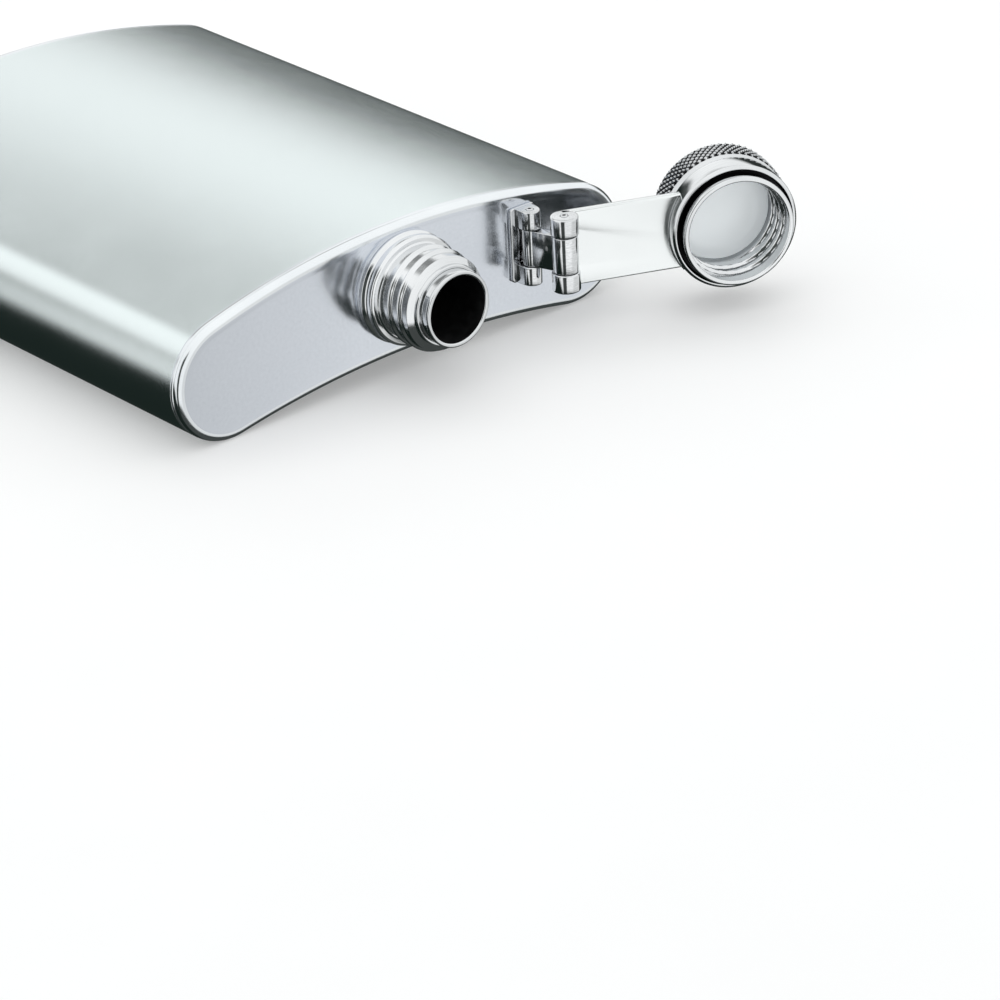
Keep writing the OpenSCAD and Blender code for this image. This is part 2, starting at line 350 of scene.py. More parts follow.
def loft(piece, rings, place, mat=0, cap=False):
    """Joins rings of (inset, height) of the body's outline; cap closes the last one."""
    count = len(kidney(0))
    verts = np.vstack([np.c_[kidney(inset), np.full(count, height)] for inset, height in rings])
    faces, uvs = grid(count, len(rings))
    piece.add(verts, faces, uvs, place, mat)
    if cap:
        last = verts[-count:]
        uv = [(x / BODY_W + 0.5, z / BODY_W + 0.5) for x, z in last[:, :2]]
        piece.add(last, [list(range(count))], [uv], place, mat)


def plate_with_hole(piece, inset, height, hole_r, place):
    """A flat of the body's outline drawn in by inset, with a round hole."""
    turns = [2 * math.pi * k / HOLE_SIDES for k in range(HOLE_SIDES)]
    bm = bmesh.new()
    edges = []
    for loop in (kidney(inset), [(hole_r * math.cos(a), hole_r * math.sin(a)) for a in turns]):
        corners = [bm.verts.new((x, z, height)) for x, z in loop]
        edges += [bm.edges.new(pair) for pair in zip(corners, corners[1:] + corners[:1])]
    bmesh.ops.triangle_fill(bm, use_beauty=True, edges=edges)
    bm.verts.index_update()
    verts = np.array([tuple(vert.co) for vert in bm.verts])
    faces = [[vert.index for vert in face.verts] for face in bm.faces]
    uvs = [[(verts[i][0] / BODY_W + 0.5, verts[i][1] / BODY_W + 0.5) for i in face] for face in faces]
    bm.free()
    piece.add(verts, faces, uvs, place)


def prism(piece, outline, z0, z1, place, round_r, steps=3):
    """A closed outline (x, y) raised from z0 to z1, with rounded rims."""
    uv_scale = 0.1
    outline = np.asarray(outline, float)
    count = len(outline)
    ahead, behind = np.roll(outline, -1, 0), np.roll(outline, 1, 0)
    along = ahead - behind
    length = np.maximum(np.linalg.norm(along, axis=1), 1e-9)
    outward = np.stack([along[:, 1], -along[:, 0]], -1) / length[:, None]
    if np.sum(outline[:, 0] * ahead[:, 1] - ahead[:, 0] * outline[:, 1]) < 0:
        outward = -outward
    turns = [math.pi / 2 * k / steps for k in range(steps + 1)]
    rows = [(round_r * (1 - math.sin(a)), z0 + round_r * (1 - math.cos(a))) for a in turns]
    rows += [(round_r * (1 - math.sin(a)), z1 - round_r * (1 - math.cos(a))) for a in turns[::-1]]
    rings = [np.c_[outline - outward * inset, np.full(count, z)] for inset, z in rows]
    faces, uvs = grid(count, len(rows))
    piece.add(np.vstack(rings), faces, uvs, place)
    for ring in (rings[0], rings[-1]):
        uv = [(x * uv_scale, y * uv_scale) for x, y in ring[:, :2]]
        piece.add(ring, [list(range(count))], [uv], place)


def threaded(piece, heights, root_r, tip_r, z0, turns, half_w, place):
    """A turned wall with a helical ridge from z0, half_w pitches each way, faded at its ends."""
    fade_turns = 0.16
    sharpness = 0.7
    t = np.linspace(0, 2 * math.pi, THREAD_SIDES, endpoint=False)
    rings = []
    for z in heights:
        ridge = np.zeros(THREAD_SIDES)
        for k in range(int(turns) + 1):
            turn = k + t / (2 * math.pi)
            fade = np.clip(np.minimum(turn, turns - turn) / fade_turns, 0, 1)
            away = np.clip(np.abs(z - z0 - PITCH * turn) / (half_w * PITCH), 0, 1)
            ridge = np.maximum(ridge, fade * (0.5 + 0.5 * np.cos(np.pi * away)) ** sharpness)
        r = root_r + (tip_r - root_r) * ridge
        rings.append(np.c_[r * np.cos(t), r * np.sin(t), np.full(THREAD_SIDES, z)])
    faces, uvs = grid(THREAD_SIDES, len(heights))
    piece.add(np.vstack(rings), faces, uvs, place)


# ---------------------------------------------------------------- shader helpers
def node(tree, kind, inputs, **settings):
    """A shader node; each of its inputs is a number, a vector, a colour or a link."""
    made = tree.nodes.new("ShaderNode" + kind)
    for name, value in settings.items():
        setattr(made, name, value)
    for name, value in inputs.items():
        if isinstance(value, bpy.types.NodeSocket):
            tree.links.new(value, made.inputs[name])
        else:
            made.inputs[name].default_value = value
    return made


def material(name, inputs_of):
    """A material whose Principled inputs come from a function of its node tree."""
    made = bpy.data.materials.new(name)
    made.use_nodes = True
    tree = made.node_tree
    tree.nodes.clear()
    surface = node(tree, "BsdfPrincipled", inputs_of(tree))
    node(tree, "OutputMaterial", {"Surface": surface.outputs[0]})
    return made


def ramp(tree, value, start, end, low=0.0, high=1.0, kind="LINEAR"):
    """A value from start to end as the given one goes from low to high."""
    inputs = {"Value": value, "From Min": low, "From Max": high, "To Min": start, "To Max": end}
    return node(tree, "MapRange", inputs, interpolation_type=kind).outputs[0]


def noise(tree, vector, scale, detail=3.0, rough=0.55, stretch=(1, 1, 1)):
    mapped = node(tree, "Mapping", {"Vector": vector, "Scale": stretch})
    inputs = {"Vector": mapped.outputs[0], "Scale": scale, "Detail": detail, "Roughness": rough}
    return node(tree, "TexNoise", inputs).outputs["Fac"]


def mix_color(tree, factor, a, b):
    inputs = {"Factor": factor, "A": (*a, 1), "B": (*b, 1)}
    return node(tree, "Mix", inputs, data_type="RGBA").outputs["Result"]


def arithmetic(tree, operation, a, b):
    return node(tree, "Math", {0: a, 1: b}, operation=operation).outputs[0]


def bumped(tree, height, strength):
    """A normal pushed about by a height, over a tenth of a millimetre."""
    return node(tree, "Bump", {"Height": height, "Strength": strength, "Distance": 0.0001}).outputs[0]


# ---------------------------------------------------------------- materials
def painted_shade_left(tree, tone, share):
    """Painted shade: the tone, brought down to a share of itself towards the flask's left side, standing in
    for the shaded floor that the plate would mirror.
    """
    place = node(tree, "TexCoord", {}).outputs["Object"]
    x = node(tree, "SeparateXYZ", {0: place}).outputs["X"]
    side = ramp(tree, x, share, 1.0, -BODY_W * 0.0005, -BODY_W * 0.0001)
    return node(tree, "VectorMath", {0: tone, "Scale": side}, operation="SCALE").outputs[0]


def steel(name, dark, light, rough, stretch, scale, bump,
          blotch=0.25, aniso=0.0, metal=1.0, left=1.0):
    """Stainless steel: a stretched grain and faint clouds set its tone and roughness; a left below 1 paints
    shade into the tone towards the flask's left side.
    """
    def inputs(tree):
        place = node(tree, "TexCoord", {})
        grain = noise(tree, place.outputs["UV"], scale, 4.0, 0.6, stretch)
        cloud = noise(tree, place.outputs["Object"], 60.0, 2.0, 0.5)
        mixed = arithmetic(tree, "ADD", grain, ramp(tree, cloud, -blotch, blotch, 0.3, 0.7))
        tone = mix_color(tree, ramp(tree, mixed, 0, 1, 0.2, 0.8), dark, light)
        found = {
            "Base Color": tone if left == 1.0 else painted_shade_left(tree, tone, left),
            "Roughness": ramp(tree, mixed, rough[0], rough[1], 0.2, 0.8),
            "Metallic": metal,
            "Normal": bumped(tree, grain, bump)}
        if aniso:
            tangent = node(tree, "Tangent", {}, direction_type="UV_MAP", uv_map="UVMap")
            found["Anisotropic"] = aniso
            found["Anisotropic Rotation"] = 0.25
            found["Tangent"] = tangent.outputs[0]
        return found
    return material(name, inputs)


def washer_black(tree):
    grain = noise(tree, node(tree, "TexCoord", {}).outputs["Object"], 900.0)
    return {"Base Color": mix_color(tree, grain, (0.012, 0.012, 0.013), (0.03, 0.03, 0.032)),
            "Roughness": ramp(tree, grain, 0.5, 0.7)}


def liner_plastic(tree):
    """Milky plastic, with a painted glow: a faint emission lifts it in the shade inside the cap."""
    grain = noise(tree, node(tree, "TexCoord", {}).outputs["Object"], 700.0)
    return {"Base Color": mix_color(tree, grain, (0.88, 0.92, 0.94), (0.93, 0.96, 0.97)),
            "Roughness": ramp(tree, grain, 0.32, 0.45),
            "Metallic": 0.3,
            # Painted light: the emission makes the liner glow, though it is no lamp.
            "Emission Color": (0.92, 0.97, 1.0, 1),
            "Emission Strength": 0.13,
            "Subsurface Weight": 0.15,
            "Subsurface Radius": (0.001, 0.001, 0.001),
            "Normal": bumped(tree, grain, 0.08)}


def pale_floor(tree):
    grain = noise(tree, node(tree, "TexCoord", {}).outputs["Object"], 30.0)
    return {"Base Color": mix_color(tree, grain, (0.66, 0.66, 0.66), (0.68, 0.68, 0.68)),
            "Emission Color": (1.0, 1.0, 1.0, 1),
            "Emission Strength": 0.27,
            "Roughness": 0.75,
            "Specular IOR Level": 0.2}


BRUSHED = steel("brushed_sleeve", (0.775, 0.84, 0.84), (0.865, 0.93, 0.93), (0.20, 0.27),
                (2.0, 60, 1), 40, bump=0.07, blotch=0.08, aniso=0.5)
# The top plate's tone holds painted shade towards the flask's left side (left=0.82).
SATIN = steel("satin_plate", (0.69, 0.72, 0.775), (0.77, 0.80, 0.855), (0.13, 0.19),
              (1, 1, 1), 160, bump=0.03, blotch=0.10, left=0.82)
SATIN_BASE = steel("satin_base", (0.66, 0.69, 0.74), (0.76, 0.79, 0.84), (0.40, 0.48),
                   (1, 1, 1), 160, bump=0.04, blotch=0.10, metal=0.8)
RIM = steel("polished_rim", (0.74, 0.765, 0.79), (0.86, 0.885, 0.90), (0.13, 0.19),
            (30, 1, 1), 30, bump=0.02)
POLISHED = steel("polished_turned", (0.62, 0.63, 0.64), (0.84, 0.85, 0.86), (0.05, 0.12),
                 (1, 60, 1), 12, bump=0.03)
STRAP = steel("arm_steel", (0.84, 0.86, 0.86), (0.93, 0.95, 0.95), (0.20, 0.26),
              (2, 40, 1), 20, bump=0.05)
HINGE = steel("hinge_steel", (0.50, 0.51, 0.52), (0.84, 0.85, 0.86), (0.05, 0.11),
              (1, 30, 1), 14, bump=0.05)
PIN = steel("pin_steel", (0.60, 0.61, 0.62), (0.76, 0.77, 0.78), (0.16, 0.26),
            (1, 1, 1), 200, bump=0.08)
KNURLED = steel("knurled_steel", (0.46, 0.47, 0.48), (0.80, 0.81, 0.82), (0.10, 0.2),
                (1, 1, 1), 120, bump=0.04)
KNOB_TOP = steel("knob_top_turned", (0.62, 0.63, 0.64), (0.84, 0.85, 0.86), (0.30, 0.40),
                 (1, 60, 1), 12, bump=0.05, metal=0.85)
# Painted shade: near-black steel for the bores, the insides and the hidden ends, where shade falls.
INSIDE_SHADE = steel("inside_painted_shade", (0.10, 0.10, 0.105), (0.17, 0.17, 0.175), (0.35, 0.5),
               (1, 20, 1), 20, bump=0.05)
# Painted shade: near-black steel for the dimples, recesses and grooves, where shade falls.
GROOVE_SHADE = steel("groove_painted_shade", (0.02, 0.02, 0.022), (0.05, 0.05, 0.052), (0.35, 0.5),
               (1, 20, 1), 20, bump=0.05)
WASHER = material("washer_black", washer_black)
LINER = material("liner_plastic", liner_plastic)


# ---------------------------------------------------------------- body
def body_sleeve():
    """The drawn tube, brushed outside, with painted shade (near-black steel) inside and on its cut ends."""
    piece = Piece()
    ends = (-RIM_H, RIM_H - BODY_H)
    loft(piece, [(0.0, y) for y in np.linspace(*ends, 40)], on_base)
    loft(piece, [(WALL, y) for y in ends], on_base, mat=1)
    for y in ends:
        loft(piece, [(0.0, y), (WALL, y)], on_base, mat=1)
    put(piece.make("sleeve_brushed", [BRUSHED, INSIDE_SHADE]), "flask", "body_sleeve")


def end_plate(name, place, has_hole, node_name, face_steel):
    """Rolled rim, shallow crease, dished face and spigot; the flat is at height 0."""
    seam, crease_w, roll_steps, dish_steps = 0.10, 0.22, 12, 6
    dish_w, dish_h = 1.05, 0.05
    piece = Piece()
    low, high = -RIM_ROUND - crease_w, -RIM_ROUND + crease_w
    rim = [(0.0, -RIM_H), (seam, -RIM_H + 0.04), (seam, -RIM_H + 0.12), (0.0, -RIM_H + 0.2), (0.0, low)]
    loft(piece, rim, place, mat=1)
    crease = [(0.0, low), (0.12, -RIM_ROUND - 0.14), (0.14, -RIM_ROUND + 0.05), (0.035, high)]
    loft(piece, crease, place, mat=1)
    roll = [crease[-1]]
    for k in range(2, roll_steps + 1):
        a = math.pi / 2 * k / roll_steps
        lean = 0.02 * (1 - k / roll_steps)
        roll.append((lean + RIM_ROUND * (1 - math.cos(a)), RIM_ROUND * (math.sin(a) - 1)))
    face_inset = RIM_ROUND + 0.35
    loft(piece, roll + [(face_inset, 0.0)], place, mat=1)
    dish = [k / dish_steps for k in range(dish_steps + 1)]
    face = [(face_inset + dish_w * f, -dish_h / 2 * (1 - math.cos(math.pi * f))) for f in dish]
    outer, inner = WALL + SLIP_FIT, WALL + SLIP_FIT + PLATE_T
    if has_hole:
        loft(piece, face, place)
        plate_with_hole(piece, face[-1][0], -dish_h, SLEEVE_BORE, place)
        plate_with_hole(piece, inner, -PLATE_T, SLEEVE_BORE, place)
        lathe(piece, [(SLEEVE_BORE, -dish_h), (SLEEVE_BORE, -PLATE_T)], place, HOLE_SIDES)
    else:
        loft(piece, face, place, cap=True)
        loft(piece, [(inner, -PLATE_T - 0.001), (inner, -PLATE_T)], place, cap=True)
    foot = -RIM_H - SPIGOT_H
    spigot = [(inner, -PLATE_T), (inner, foot), (outer, foot), (outer, -RIM_H), (0.0, -RIM_H)]
    # The spigot inside the body is painted near-black, as shade.
    loft(piece, spigot, place, mat=2)
    put(piece.make(name, [face_steel, RIM, INSIDE_SHADE], angle=30), "flask", node_name)


# ---------------------------------------------------------------- neck
def neck_collar():
    """The flared foot, a waist and the wide bead of the weld collar."""
    piece = Piece()
    rows = [(SLEEVE_BORE, 0, 0), (COLLAR_R, 0, 0.1), (COLLAR_R, 0.35, 0.25),
            (COLLAR_R - 0.4, 0.75, 0.2), (COLLAR_R - 0.55, 0.85, 0.12), (COLLAR_R - 0.6, 1.3, 0.15),
            (COLLAR_R - 0.22, 1.5, 0.3), (COLLAR_R - 0.2, COLLAR_H - 0.65, 0.4),
            (COLLAR_R - 0.6, COLLAR_H - 0.35, 0.2), (ROOT_R + 0.35, COLLAR_H - 0.3, 0.1),
            (ROOT_R + 0.15, COLLAR_H, 0.1), (SLEEVE_BORE, COLLAR_H, 0)]
    lathe(piece, profile(rows, closed=True), on_top, NECK_SIDES, closed=True)
    put(piece.make("neck_collar_turned", [POLISHED]), "flask", "neck_collar")


def spout_tube():
    """The tube with its flange inside the body and its bright rim; the bore is painted dark, as shade."""
    piece = Piece()
    flange_r, flange_z, rim_r = TUBE_R + 1.1, -PLATE_T - 0.6, TUBE_R + 0.12
    rows = [(BORE_R, flange_z, 0), (flange_r, flange_z, 0.1), (flange_r, -PLATE_T, 0.1),
            (TUBE_R, -PLATE_T, 0.05), (TUBE_R, NECK_H - 0.75, 0.15), (rim_r, NECK_H - 0.55, 0.15),
            (rim_r, NECK_H, 0.32), (BORE_R, NECK_H, 0.3)]
    lathe(piece, profile(rows, closed=True, steps=6), on_top, NECK_SIDES, closed=True)
    ob = piece.make("spout_tube_turned", [POLISHED, INSIDE_SHADE])
    # The bore's faces get painted shade.
    paint(ob, 1, on_top, lambda r, z: r < BORE_R + 0.02 and z < NECK_H - 0.5)
    put(ob, "flask", "spout_tube")


def thread_sleeve():
    """The sleeve with the rolled thread, the shoulder above it and its bore."""
    piece = Piece()
    heights = np.arange(COLLAR_H, THREAD_TOP + 0.001, 0.075)
    threaded(piece, heights, ROOT_R, CREST_R, THREAD_Z0, NECK_TURNS, 0.25, on_top)
    rows = [(ROOT_R, heights[-1], 0), (ROOT_R, THREAD_TOP + 0.1, 0.3),
            (SHOULDER_R + 0.15, THREAD_TOP + 0.6, 0.15), (SHOULDER_R, THREAD_TOP + 0.7, 0.1),
            (SHOULDER_R, SLEEVE_TOP, 0.25), (SLEEVE_BORE, SLEEVE_TOP, 0),
            (SLEEVE_BORE, COLLAR_H, 0), (ROOT_R, COLLAR_H, 0)]
    lathe(piece, profile(rows), on_top, THREAD_SIDES)
    put(piece.make("neck_thread_rolled", [POLISHED]), "flask", "thread_sleeve")


# ---------------------------------------------------------------- hinge
def knuckle_starts():
    """The lower ends of the two outer knuckles, along the pin."""
    return [s * (HINGE_W - KNUCKLE_L) / 2 - KNUCKLE_L / 2 for s in (-1, 1)]


def hinge_bracket():
    """A foot plate and two barrels, each on a web that is cut clear of the pin."""
    piece = Piece()
    x, y = FOOT_W / 2, HINGE_W / 2
    foot = rounded([(-x, -y), (x, -y), (x, y), (-x, y)], 0.6, closed=True)
    prism(piece, foot, 0.0, FOOT_T, on_foot, 0.18)
    web_h = -BODY_H - bracket_axis[1] - FOOT_T / 2
    web = [(BRACKET_R, 0.0), (BRACKET_R, web_h), (-BRACKET_R, web_h), (-BRACKET_R, 0.0)]
    pin_clear = 1.2
    web += [(-pin_clear * math.cos(a), pin_clear * math.sin(a)) for a in np.linspace(0, math.pi, 17)]
    for z in knuckle_starts():
        tube(piece, PIN_R + SLIP_FIT, BRACKET_R, z, z + KNUCKLE_L, at_bracket, 0.25)
        prism(piece, web, z + 0.03, z + KNUCKLE_L - 0.03, at_bracket, 0.12)
    put(piece.make("bracket_curled", [HINGE]), "flask", "hinge_bracket")


def pin(name, place, body, node_name):
    """A straight pin with chamfered ends, each with a dimple painted dark, as shade."""
    piece = Piece()
    half, dimple_r, chamfer = HINGE_W / 2 + 0.15, 0.30, 0.15
    rows = []
    for s in (-1, 1):
        end = [(dimple_r, s * (half - 0.05)), (dimple_r + 0.06, s * half),
               (PIN_R - chamfer, s * half), (PIN_R, s * (half - chamfer))]
        rows += end if s < 0 else end[::-1]
        dimple = [(0.0, s * (half - 0.28)), (dimple_r - 0.06, s * (half - 0.28)), end[0]]
        lathe(piece, dimple, place, PIN_SIDES, mat=1)
    lathe(piece, rounded(rows, 0.05), place, PIN_SIDES)
    put(piece.make(name, [PIN, GROOVE_SHADE]), body, node_name)


def link_plate():
    """A barrel round each pin, and the web between them."""
    piece = Piece()
    z = MIDDLE_L / 2
    tube(piece, PIN_R + RUN_FIT, LINK_R1, -z, z, at_link, 0.15)
    tube(piece, PIN_R + RUN_FIT, LINK_R2, -z, z, at_link, 0.15, centre=(LINK_L, 0.0))
    y = LINK_R1 * 0.8
    x0, x1 = 0.9, LINK_L - 1.0
    web = rounded([(x0, -y), (x1, -y), (x1, y), (x0, y)], 0.05, closed=True)
    prism(piece, web, -z, z, at_link, 0.12)
    put(piece.make("link_pressed", [HINGE]), "link", "link_plate")


# ---------------------------------------------------------------- arm
def hinge_arm():
    """A flat strap from the ring to two knuckles, with a gap between them for the link."""
    piece = Piece()
    half, gap = HINGE_W / 2, HINGE_W / 2 - KNUCKLE_L
    spread = math.asin(half / RING_R)
    ring_end = [(-ARM_REACH + RING_R * math.cos(a), RING_R * math.sin(a))
                for a in np.linspace(-spread, spread, 25)]
    x = -0.2
    rows = [(x, half, 0), (x, gap, 0), (-ARM_R, gap, 0.25), (-ARM_R, -gap, 0.25), (x, -gap, 0), (x, -half, 0)]
    prism(piece, np.vstack([ring_end, profile(rows)]), 0.0, ARM_T, on_strap, 0.22, steps=4)
    for z in knuckle_starts():
        tube(piece, PIN_R + RUN_FIT, ARM_R, z, z + KNUCKLE_L, at_arm, 0.3, BARREL_SIDES, mat=1)
    put(piece.make("arm_strap", [STRAP, HINGE]), "arm", "hinge_arm")


def arm_ring():
    """The turned ring, with a recess on the side of the lip painted dark, as shade."""
    piece = Piece()
    bore, recess = BUSH_R + RUN_FIT, RING_Z0 + 1.0
    rows = [(bore, recess, 0), (RING_R - 0.9, recess, 0.1), (RING_R - 0.7, RING_Z0, 0.12),
            (RING_R - 0.4, RING_Z0, 0.2), (RING_R, RING_Z0 + 0.4, 0.25), (RING_R, RING_Z1, 0.3),
            (bore, RING_Z1, 0)]
    lathe(piece, profile(rows, closed=True), at_cap, RING_SIDES, closed=True)
    ob = piece.make("cap_ring_turned", [POLISHED, GROOVE_SHADE])
    paint(ob, 1, at_cap, lambda r, z: r < RING_R - 0.72 and z > RING_Z0 + 0.05)
    put(ob, "arm", "arm_ring")


# ---------------------------------------------------------------- cap
KNURLS = 58
KNURL_STEPS = 8
KNURL_DEPTH = 0.50
KNURL_PITCH = 1.24
KNURL_Z0 = KNOB_Z0 + 0.8
KNURL_SIDES = KNURLS * KNURL_STEPS


def knob_wall(z):
    """Radius of the knob at a height before it is knurled, chamfered at both ends."""
    slope = 0.8
    lower = KNOB_R - 0.1 + (z - KNURL_Z0) * slope
    upper = KNOB_R - max(z - (KNOB_Z1 - 1.0), 0) * slope
    return min(KNOB_R, lower, upper)


def groove_distance(x):
    """0 in the middle of a knurl's groove and 1 midway between two, every whole x."""
    return np.abs((x % 1.0) - 0.5) * 2


def knurl_band(piece, heights):
    """The knob's wall, cut by two crossing sets of grooves into small flat-topped diamonds."""
    flat = 0.86
    t = np.linspace(0, 2 * math.pi, KNURL_SIDES, endpoint=False)
    rings = []
    for z in heights:
        across, along = t * KNURLS / (2 * math.pi), (z - KNOB_Z0) / KNURL_PITCH
        rise = np.minimum(groove_distance(across + along), groove_distance(across - along))
        rise = np.minimum(rise, flat) / flat
        r = np.minimum(KNOB_R - KNURL_DEPTH * (1 - rise), knob_wall(z))
        rings.append(np.c_[r * np.cos(t), r * np.sin(t), np.full(KNURL_SIDES, z)])
    faces, uvs = grid(KNURL_SIDES, len(heights))
    piece.add(np.vstack(rings), faces, uvs, at_cap, 1)


def cap_knob():
    """The knurled band, the plain end by the washer, the turned top and the socket inside."""
    piece = Piece()
    heights = np.arange(KNURL_Z0, KNOB_Z1 - 0.35, KNURL_PITCH / KNURL_STEPS)
    knurl_band(piece, heights)
    low, high = heights[0], heights[-1]
    bottom = [(KNOB_BORE, KNOB_Z0, 0), (RING_R - 0.5, KNOB_Z0, 0.15),
              (KNOB_R - 0.35, KNOB_Z0 + 0.72, 0.12), (knob_wall(low) - KNURL_DEPTH * 0.6, low, 0)]
    lathe(piece, profile(bottom), at_cap, KNURL_SIDES // 2)
    groove_z, middle_z = KNOB_Z1 - 0.25, KNOB_Z1 - 0.02
    top = [(knob_wall(high) - KNURL_DEPTH * 0.3, high, 0), (KNOB_R - 0.95, KNOB_Z1, 0.25),
           (KNOB_R - 2.2, KNOB_Z1, 0.1), (KNOB_R - 2.5, groove_z, 0.1), (KNOB_R - 2.9, groove_z, 0.1),
           (KNOB_R - 3.2, middle_z, 0.1), (0.0, middle_z, 0)]
    lathe(piece, profile(top), at_cap, KNURL_SIDES // 2, mat=3)
    lathe(piece, [(KNOB_BORE, KNOB_Z0), (KNOB_BORE, BUSH_TOP), (0.0, BUSH_TOP)], at_cap, HOLE_SIDES)
    ob = piece.make("knob_knurled", [POLISHED, KNURLED, GROOVE_SHADE, KNOB_TOP], angle=22)

    def in_groove(r, z):
        deep = KNOB_R - 0.6 < r < KNOB_R - KNURL_DEPTH * 0.66
        return deep and KNOB_Z0 + 1.0 < z < KNOB_Z1 - 0.7

    # The knurl's grooves are painted dark, as shade.
    paint(ob, 2, at_cap, in_groove)
    put(ob, "cap", "cap_knob")


def threaded_bush():
    """The bush with its lip and internal thread; the wall inside the ring is painted dark, as shade."""
    piece = Piece()
    thread_low = 0.5
    heights = np.append(np.arange(thread_low, LINER_TOP + 0.001, 0.08), LINER_TOP)
    threaded(piece, heights, BUSH_BORE, FEMALE_R, FEMALE_Z0, NECK_TURNS + EXTRA_TURNS, 0.15, at_cap)
    rows = [(BUSH_BORE, thread_low, 0), (BUSH_BORE, 0.15, 0.15), (BUSH_BORE + 0.2, 0, 0.1),
            (LIP_R, 0, 0.35), (LIP_R, LIP_H - 0.2, 0.2), (BUSH_R, LIP_H, 0.05), (BUSH_R, BUSH_TOP, 0),
            (0.0, BUSH_TOP, 0)]
    lathe(piece, profile(rows, steps=6), at_cap, THREAD_SIDES)
    lathe(piece, [(BUSH_BORE, LINER_TOP), (0.0, LINER_TOP)], at_cap, THREAD_SIDES)
    ob = piece.make("bush_threaded", [POLISHED, GROOVE_SHADE])
    paint(ob, 1, at_cap, lambda r, z: r > BUSH_R - 0.02 and z > LIP_H - 0.15)
    put(ob, "cap", "threaded_bush")


def slip_washer():
    """The black washer between the ring and the knob."""
    piece = Piece()
    outer = RING_R - 0.6
    rows = [(KNOB_BORE, WASHER_Z), (outer, WASHER_Z), (outer, KNOB_Z0), (KNOB_BORE, KNOB_Z0)]
    lathe(piece, rows, at_cap, DISC_SIDES, closed=True)
    put(piece.make("washer_black_ring", [WASHER]), "cap", "slip_washer")


def seal_liner():
    """The pale disc, with a shallow middle."""
    piece = Piece()
    middle_z = LINER_Z + 0.05
    rows = [(0, middle_z, 0), (LINER_R - 2.9, middle_z, 1.2), (LINER_R - 1.9, LINER_Z, 1.2),
            (LINER_R, LINER_Z, 0.25), (LINER_R, LINER_TOP, 0), (0, LINER_TOP, 0)]
    lathe(piece, profile(rows, steps=8), at_cap, DISC_SIDES)
    put(piece.make("liner_disc", [LINER]), "cap", "seal_liner")


body_sleeve()
end_plate("top_plate_pressed", on_top, True, "top_plate", SATIN)
end_plate("base_plate_pressed", on_base, False, "base_plate", SATIN_BASE)
neck_collar()
spout_tube()
thread_sleeve()
hinge_bracket()
pin("bracket_pin_domed", at_bracket, "flask", "bracket_pin")
pin("arm_pin_domed", at_arm, "arm_pin_body", "arm_pin")
link_plate()
hinge_arm()
arm_ring()
cap_knob()
threaded_bush()
slip_washer()
seal_liner()


# ---------------------------------------------------------------- stage
def stage_floor():
    """A pale floor under the flask, which its steel doesn't mirror: the studio stands in for it."""
    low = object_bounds()[0]
    bpy.ops.mesh.primitive_plane_add(size=6.0, location=(0, 0, low[2]))
    floor = bpy.context.object
    floor.name = "floor"
    floor.visible_glossy = False
    floor.data.materials.append(material("pale_floor", pale_floor))


def key_light():
    """A soft light from behind, which shapes the shadow and isn't mirrored."""
    place, target = Vector((0.35, 0.45, 0.7)), Vector((0.0, -0.07, 0.0))
    lamp = bpy.data.lights.new("key", "AREA")
    lamp.shape = "RECTANGLE"
    lamp.size = lamp.size_y = 0.8
    lamp.energy = 1.4
    ob = bpy.data.objects.new("key", lamp)
    ob.location = place
    ob.rotation_euler = (target - place).to_track_quat("-Z", "Y").to_euler()
    ob.visible_glossy = False
    bpy.context.scene.collection.objects.link(ob)


def direction(azimuth, elevation):
    """A unit vector, its azimuth in degrees from +X towards +Y."""
    a, e = math.radians(azimuth), math.radians(elevation)
    return (math.cos(a) * math.cos(e), math.sin(a) * math.cos(e), math.sin(e))


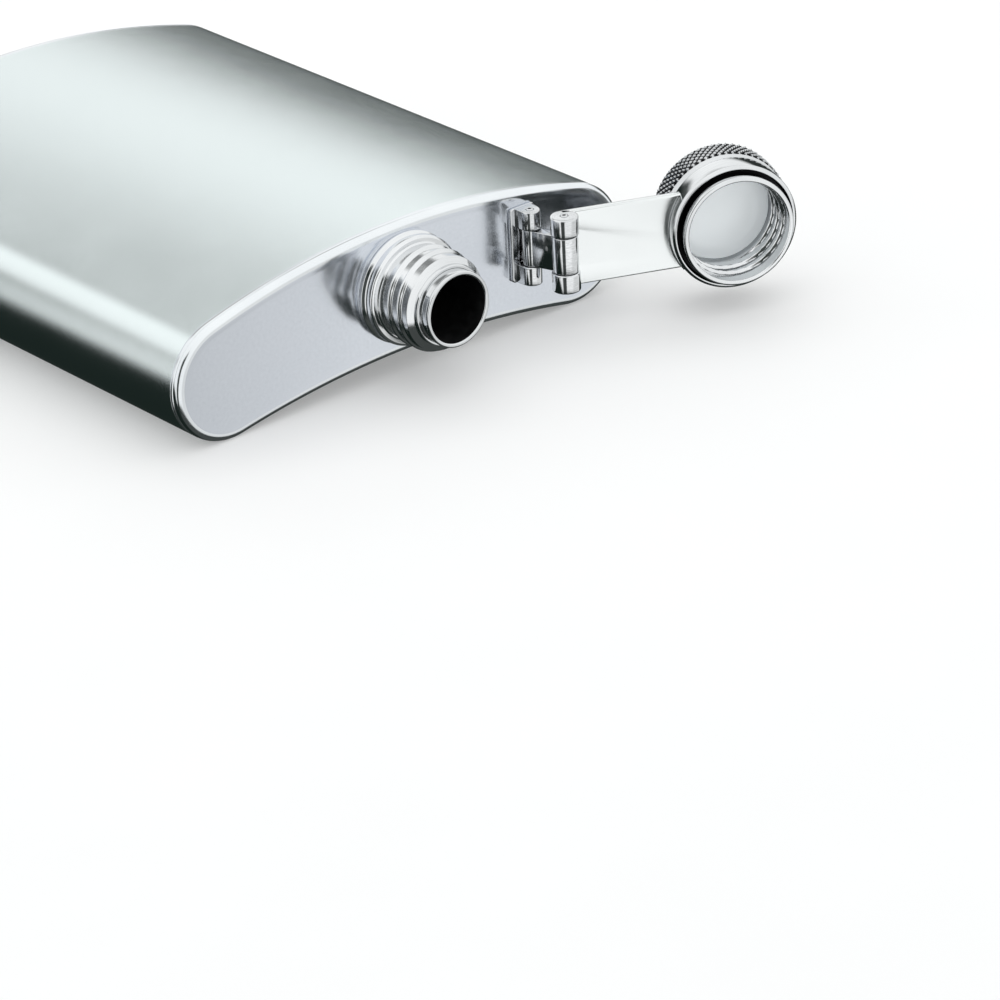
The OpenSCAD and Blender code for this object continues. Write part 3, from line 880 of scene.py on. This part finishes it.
def studio_world():
    """A white studio with grey and black flags, as the steel sees it."""
    world = bpy.data.worlds.new("studio")
    bpy.context.scene.world = world
    world.use_nodes = True
    tree = world.node_tree
    tree.nodes.clear()
    view = node(tree, "TexCoord", {}).outputs["Generated"]
    height = node(tree, "SeparateXYZ", {0: view}).outputs["Z"]

    def both(a, b):
        return arithmetic(tree, "MULTIPLY", a, b)

    def lobe(azimuth, elevation, inner, outer, vector=view):
        """1 in a cone of the inner angle round a direction, 0 outside the outer one."""
        centre = direction(azimuth, elevation)
        dot = node(tree, "VectorMath", {0: vector, 1: centre}, operation="DOT_PRODUCT").outputs["Value"]
        low, high = math.cos(math.radians(outer)), math.cos(math.radians(inner))
        return ramp(tree, dot, 0.0, 1.0, low, high, "SMOOTHSTEP")

    def wedge(azimuth, inner, outer):
        """1 within the inner angle of an azimuth, at any elevation."""
        flat = node(tree, "VectorMath", {0: view, 1: (1, 1, 0)}, operation="MULTIPLY").outputs[0]
        unit = node(tree, "VectorMath", {0: flat}, operation="NORMALIZE").outputs[0]
        return lobe(azimuth, 0, inner, outer, unit)

    def band(low0, low1, high0, high1):
        """1 between two elevations, given as sines, with soft edges."""
        up = ramp(tree, height, 0.0, 1.0, low0, low1, "SMOOTHSTEP")
        down = ramp(tree, height, 1.0, 0.0, high0, high1, "SMOOTHSTEP")
        return both(up, down)

    below = (-1.2, -1.1)
    flags = [
        # the dark end of the room behind the far edge
        (both(lobe(50, -12, 50, 68), band(-0.9, -0.7, 0.12, 0.28)), 0.98),
        # the gap between the two overhead boxes
        (both(lobe(72, 44, 16, 30), band(0.50, 0.62, 0.70, 0.73)), 0.76),
        # the black flag on the floor on the left
        (both(lobe(138, -45, 38, 50), band(*below, -0.26, 0.08)), 1.0),
        # the dark stand left of the camera
        (both(wedge(216, 11, 17), band(-0.8, -0.6, 0.45, 0.6)), 0.95),
        # the camera itself
        (lobe(230, 24, 7, 12), 0.8),
        # the floor close to the flask, which lies in its own shade
        (band(*below, -0.60, -0.505), 0.95),
        # the bluish grey floor in front on the right
        (lobe(314, -30, 12, 36), 0.22),
        # the black flag behind on the left
        (both(wedge(106, 19, 27), band(*below, 0.28, 0.42)), 0.92),
        # the dark gap behind on the right
        (lobe(8, -24, 12, 22), 0.95),
    ]
    light = 1.0
    for flag, strength in flags:
        light = both(light, arithmetic(tree, "SUBTRACT", 1.0, both(flag, strength)))
    seen_by_steel = mix_color(tree, light, (0.010, 0.016, 0.014), (0.985, 1.0, 1.0))
    steel_sees = node(tree, "Background", {0: seen_by_steel, 1: 1.10})
    camera_sees = node(tree, "Background", {0: (0.97, 0.97, 0.97, 1), 1: 1.0})
    is_camera = node(tree, "LightPath", {}).outputs["Is Camera Ray"]
    inputs = {0: is_camera, 1: steel_sees.outputs[0], 2: camera_sees.outputs[0]}
    node(tree, "OutputWorld", {"Surface": node(tree, "MixShader", inputs).outputs[0]})


# ---------------------------------------------------------------- camera
CAMERA_PLACE = Vector((-0.43016, -0.53972 - BODY_H * 0.001, 0.32098 - MID_Z * 0.001))
CAMERA_AZIMUTH = -39.69
CAMERA_ELEVATION = 26.60
CAMERA_ROLL = -2.63
SENSOR_W = 36.0
LENS_PER_WIDTH = 4.65


def camera():
    """The photograph's camera: its place in metres, its angles in degrees."""
    azimuth, roll = math.radians(CAMERA_AZIMUTH), math.radians(CAMERA_ROLL)
    backward = Vector(direction(CAMERA_AZIMUTH - 90, CAMERA_ELEVATION))
    level = Vector((math.cos(azimuth), math.sin(azimuth), 0))
    upright = backward.cross(level)
    right = math.cos(roll) * level + math.sin(roll) * upright
    up = math.cos(roll) * upright - math.sin(roll) * level
    data = bpy.data.cameras.new("camera")
    data.sensor_width = SENSOR_W
    data.lens = LENS_PER_WIDTH * SENSOR_W
    data.clip_start = 0.01
    ob = bpy.data.objects.new("camera", data)
    bpy.context.scene.collection.objects.link(ob)
    turned = Matrix((right, up, backward)).transposed().to_4x4()
    ob.matrix_world = Matrix.Translation(CAMERA_PLACE) @ turned
    bpy.context.scene.camera = ob


stage_floor()
studio_world()
key_light()
camera()
bpy.context.scene.view_settings.view_transform = "Standard"
